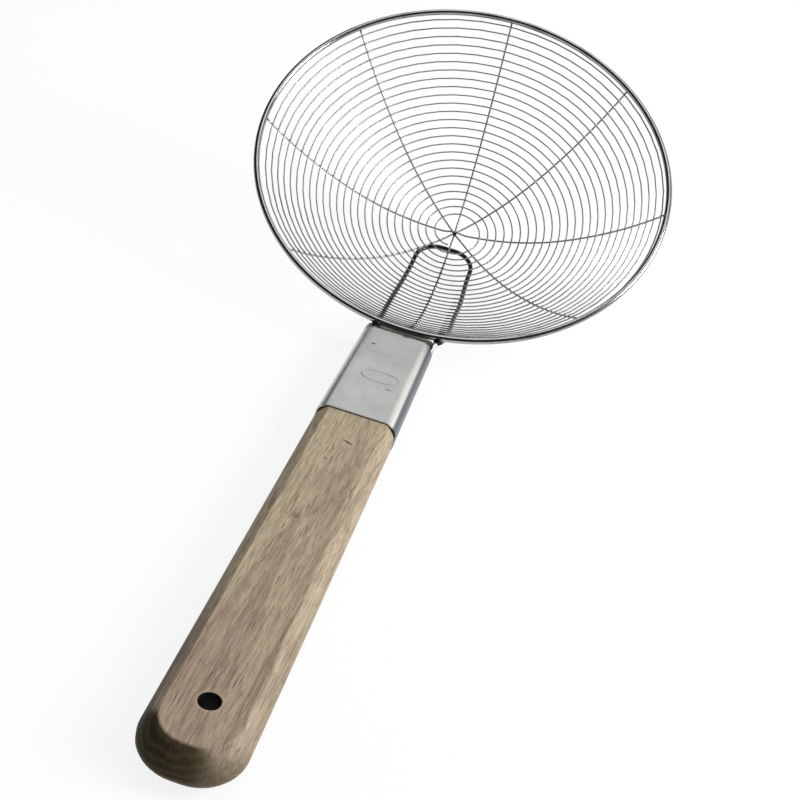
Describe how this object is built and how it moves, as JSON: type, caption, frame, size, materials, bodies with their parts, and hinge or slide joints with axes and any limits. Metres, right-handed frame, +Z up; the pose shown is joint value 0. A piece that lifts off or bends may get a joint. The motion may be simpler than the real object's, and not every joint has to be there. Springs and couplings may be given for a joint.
{
  "type": "spider skimmer",
  "caption": "Spider skimmer: a shallow bowl of spirally wound wire inside a heavy wire rim, on a flat wooden handle with a steel ferrule.",
  "frame": {"origin": "middle of the bounding box's underside, where the skimmer lies flat on its ferrule and handle", "axes": "+Z up, +Y from the handle towards the bowl, +X across"},
  "size_m": [0.22, 0.4924, 0.1227],
  "materials": {
    "rim_steel": "polished stainless steel wire",
    "mesh_steel": "drawn stainless steel wire",
    "ferrule_steel": "satin stainless steel sheet",
    "handle_wood": "smooth unvarnished light hardwood"
  },
  "bodies": {
    "root": {"rim_ring": "rim_steel", "cross_wire_1": "mesh_steel", "cross_wire_2": "mesh_steel", "cross_wire_3": "mesh_steel", "cross_wire_4": "mesh_steel", "spiral_wire": "mesh_steel", "support_loop": "rim_steel", "ferrule": "ferrule_steel", "handle": "handle_wood"}
  },
  "joints": []
}
